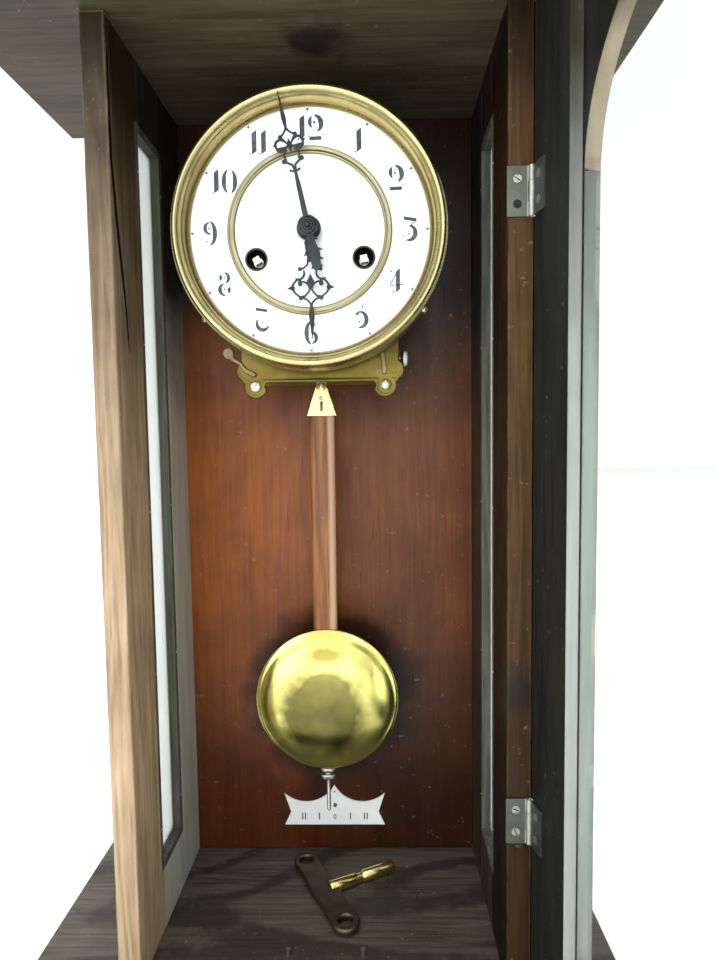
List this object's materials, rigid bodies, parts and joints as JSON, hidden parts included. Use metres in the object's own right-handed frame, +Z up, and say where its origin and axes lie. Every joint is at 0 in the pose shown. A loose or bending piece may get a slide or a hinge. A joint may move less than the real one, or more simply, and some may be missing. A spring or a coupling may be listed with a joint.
{
  "type": "pendulum wall clock",
  "caption": "Wooden wall clock with an open glazed door, white enamel dial in a brass bezel, wooden-rod pendulum with brass bob, and winding key.",
  "frame": {"origin": "centre of the hanger hole on the wall face of the case", "axes": "+X to the right seen from the room, +Y into the wall, +Z up"},
  "size_m": [0.394, 0.3924, 0.609],
  "materials": {
    "walnut_case": "stained, satin varnish, worn edges",
    "red_back": "red-brown stained, satin varnish",
    "tan_stile": "worn varnish, pale wood showing",
    "black_door": "dark stained inside face",
    "rod_wood": "varnished",
    "bead_wood": "dark stained",
    "glass": "clear old window glass",
    "brass": "polished, slightly dulled",
    "bracket_brass": "pressed sheet, dull",
    "wheel_brass": "cut and brushed",
    "steel": "bright steel, lightly aged",
    "blued_steel": "blue-black",
    "gong_steel": "blued spring steel",
    "enamel": "white enamel",
    "key_iron": "dark brown, worn"
  },
  "bodies": {
    "case": {"back_board": "red_back", "rear_rails": "walnut_case", "top_board": "walnut_case", "crown_board": "walnut_case", "bottom_board": "walnut_case", "left_front_stile": "tan_stile", "right_front_stile": "walnut_case", "rear_stiles": "walnut_case", "side_rails": "walnut_case", "side_glass": "glass", "side_glass_beads": "bead_wood", "hanger_plate": "steel", "case_screws": "steel", "case_hinge_leaves": "steel", "beat_scale": "enamel", "movement_bracket": "bracket_brass", "clamp_screws": "steel", "clamp_levers": "steel", "front_plate": "wheel_brass", "back_plate": "wheel_brass", "plate_pillars": "wheel_brass", "gong_coil": "gong_steel", "gong_block": "bracket_brass", "dial_plate": "enamel", "dial_inner_ring": "brass", "dial_bezel": "brass", "dial_grommets": "brass"},
    "door": {"door_hinge_stile": "black_door", "door_latch_stile": "black_door", "door_arch_rail": "black_door", "door_bottom_rail": "black_door", "door_glass": "glass", "door_hinge_leaves": "steel", "door_screws": "steel"},
    "hook": {"door_hook": "brass"},
    "winding_key": {"key_wing": "key_iron", "key_shaft": "brass"},
    "minute_train": {"cannon_pinion": "steel", "minute_hand": "blued_steel", "hand_collet": "blued_steel"},
    "minute_wheel": {"minute_wheel": "wheel_brass"},
    "hour_train": {"hour_wheel": "wheel_brass", "hour_hand": "blued_steel"},
    "third_wheel": {"third_wheel": "wheel_brass"},
    "centre_wheel": {"centre_wheel": "wheel_brass"},
    "escape_wheel": {"escape_wheel": "wheel_brass"},
    "intermediate_wheel": {"intermediate_wheel": "wheel_brass"},
    "going_barrel": {"going_barrel": "wheel_brass"},
    "strike_barrel": {"strike_barrel": "wheel_brass"},
    "going_arbor": {"going_arbor": "steel"},
    "strike_arbor": {"strike_arbor": "steel"},
    "pendulum": {"pendulum_hook": "steel", "pendulum_cap": "brass", "pendulum_rod": "rod_wood", "pendulum_bob": "brass", "rating_screw": "steel"},
    "rating_nut": {"rating_nut": "steel"},
    "anchor": {"anchor": "steel"},
    "hammer": {"hammer": "wheel_brass"}
  },
  "joints": [
    {"name": "door_hinge", "type": "hinge", "parent": "case", "child": "door", "pos_m": [0.1228, -0.1493, -0.26125], "axis": [0, 0, 1], "range_deg": [-102, 48]},
    {"name": "hook_swing", "type": "hinge", "parent": "case", "child": "hook", "pos_m": [-0.125, -0.138, -0.245], "axis": [-1, 0, 0], "range_deg": [-20, 115]},
    {"name": "key_lift_out", "type": "slide", "parent": "case", "child": "winding_key", "axis": [0, -0.94, 0.3412], "range_m": [0, 0.26]},
    {"name": "minute_turn", "type": "hinge", "parent": "case", "child": "minute_train", "pos_m": [-0.0032, -0.116, -0.088], "axis": [0, 1, 0], "continuous": true},
    {"name": "minute_wheel_turn", "type": "hinge", "parent": "case", "child": "minute_wheel", "pos_m": [-0.01168, -0.102, -0.09649], "axis": [0, 1, 0], "continuous": true},
    {"name": "hour_turn", "type": "hinge", "parent": "case", "child": "hour_train", "pos_m": [-0.0032, -0.108, -0.088], "axis": [0, 1, 0], "continuous": true},
    {"name": "third_turn", "type": "hinge", "parent": "case", "child": "third_wheel", "pos_m": [-0.0032, -0.078, -0.0665], "axis": [0, 1, 0], "continuous": true},
    {"name": "centre_turn", "type": "hinge", "parent": "case", "child": "centre_wheel", "pos_m": [-0.0032, -0.078, -0.088], "axis": [0, 1, 0], "continuous": true},
    {"name": "escape_turn", "type": "hinge", "parent": "case", "child": "escape_wheel", "pos_m": [-0.00241, -0.078, -0.04672], "axis": [0, 1, 0], "continuous": true},
    {"name": "intermediate_turn", "type": "hinge", "parent": "case", "child": "intermediate_wheel", "pos_m": [-0.00109, -0.078, -0.10889], "axis": [0, 1, 0], "continuous": true},
    {"name": "going_barrel_turn", "type": "hinge", "parent": "case", "child": "going_barrel", "pos_m": [0.0301, -0.078, -0.1045], "axis": [0, 1, 0], "continuous": true},
    {"name": "strike_barrel_turn", "type": "hinge", "parent": "case", "child": "strike_barrel", "pos_m": [-0.0365, -0.078, -0.1045], "axis": [0, 1, 0], "continuous": true},
    {"name": "going_winding", "type": "hinge", "parent": "case", "child": "going_arbor", "pos_m": [0.0301, -0.078, -0.1045], "axis": [0, 1, 0], "continuous": true},
    {"name": "strike_winding", "type": "hinge", "parent": "case", "child": "strike_arbor", "pos_m": [-0.0365, -0.078, -0.1045], "axis": [0, 1, 0], "continuous": true},
    {"name": "pendulum_swing", "type": "hinge", "parent": "case", "child": "pendulum", "pos_m": [-0.0016, -0.055, -0.02832], "axis": [0, 1, 0], "range_deg": [-4, 4]},
    {"name": "rating_nut_turn", "type": "hinge", "parent": "pendulum", "child": "rating_nut", "pos_m": [-0.0016, -0.055, -0.463], "axis": [0, 0, 1], "continuous": true},
    {"name": "anchor_rock", "type": "hinge", "parent": "case", "child": "anchor", "pos_m": [-0.0016, -0.078, -0.02832], "axis": [0, 1, 0], "range_deg": [-4.5, 4.5]},
    {"name": "hammer_swing", "type": "hinge", "parent": "case", "child": "hammer", "pos_m": [0.048, -0.038, -0.083], "axis": [0, -1, 0], "range_deg": [0, 12], "stiffness_Nm_per_rad": 0.02, "springref_deg": -5.73}
  ],
  "couplings": [
    {"joint": "minute_wheel_turn", "follows": "minute_turn", "ratio": -0.33333},
    {"joint": "hour_turn", "follows": "minute_turn", "ratio": 0.083333},
    {"joint": "centre_turn", "follows": "third_turn", "ratio": -0.10256},
    {"joint": "escape_turn", "follows": "third_turn", "ratio": -10},
    {"joint": "intermediate_turn", "follows": "third_turn", "ratio": 0.017094},
    {"joint": "going_barrel_turn", "follows": "third_turn", "ratio": -0.0021368},
    {"joint": "anchor_rock", "follows": "pendulum_swing", "ratio": 1}
  ]
}
